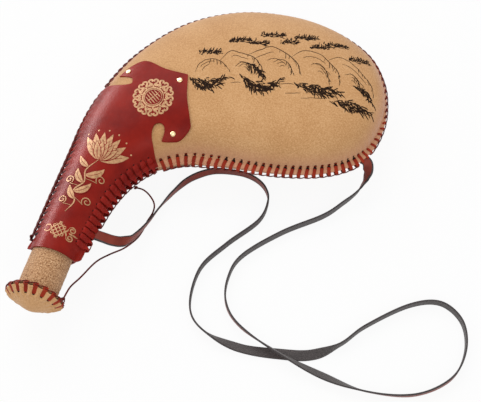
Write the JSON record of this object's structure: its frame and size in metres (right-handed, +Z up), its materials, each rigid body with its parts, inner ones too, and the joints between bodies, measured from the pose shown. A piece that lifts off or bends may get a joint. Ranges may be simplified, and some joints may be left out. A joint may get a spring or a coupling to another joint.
{
  "type": "bota bag",
  "caption": "Curved leather drinking flask with laced suede panels, a red neck sleeve, a wrapped spout with a tied laced stopper, and a long shoulder strap.",
  "frame": {"origin": "on the flat of the back panel that the flask rests on, under the middle of its body", "axes": "+Z up through the front panel, -Y along the neck towards the spout, +X towards the far end of the body"},
  "size_m": [0.3903, 0.3542, 0.0769],
  "materials": {
    "suede": "matt napped suede",
    "spout_suede": "coarse napped suede",
    "red_leather": "satin dyed leather",
    "lace": "dyed thong",
    "strap": "dyed outside, grey inside",
    "brass": "polished",
    "wood": "plain turned",
    "cork": "plain cork",
    "liner": "moulded"
  },
  "bodies": {
    "bag": {"front_panel": "suede", "back_panel": "suede", "neck_sleeve_front": "red_leather", "neck_sleeve_back": "red_leather", "liner_nozzle": "liner", "liner_flask": "liner", "spout_wrap": "spout_suede", "lace_neck_left": "lace", "lace_crown": "lace", "lace_belly": "lace", "lace_neck_right": "lace", "lace_mouth": "lace", "welt_crown": "red_leather", "welt_belly": "red_leather", "welt_mouth": "red_leather", "rivet_left": "brass", "rivet_apex": "brass", "rivet_right": "brass", "rivet_burr_left": "brass", "rivet_burr_apex": "brass", "rivet_burr_right": "brass", "shoulder_strap": "strap", "stopper_tether": "lace", "tether_knot_neck": "lace"},
    "stopper": {"stopper_core": "wood", "stopper_seal": "cork", "cap_top": "suede", "cap_under": "suede", "cap_lace": "lace", "tether_knot_cap": "lace"}
  },
  "joints": [
    {"name": "stopper_pull", "type": "slide", "parent": "bag", "child": "stopper", "axis": [0, -1, 0], "range_m": [0, 0.045]}
  ]
}
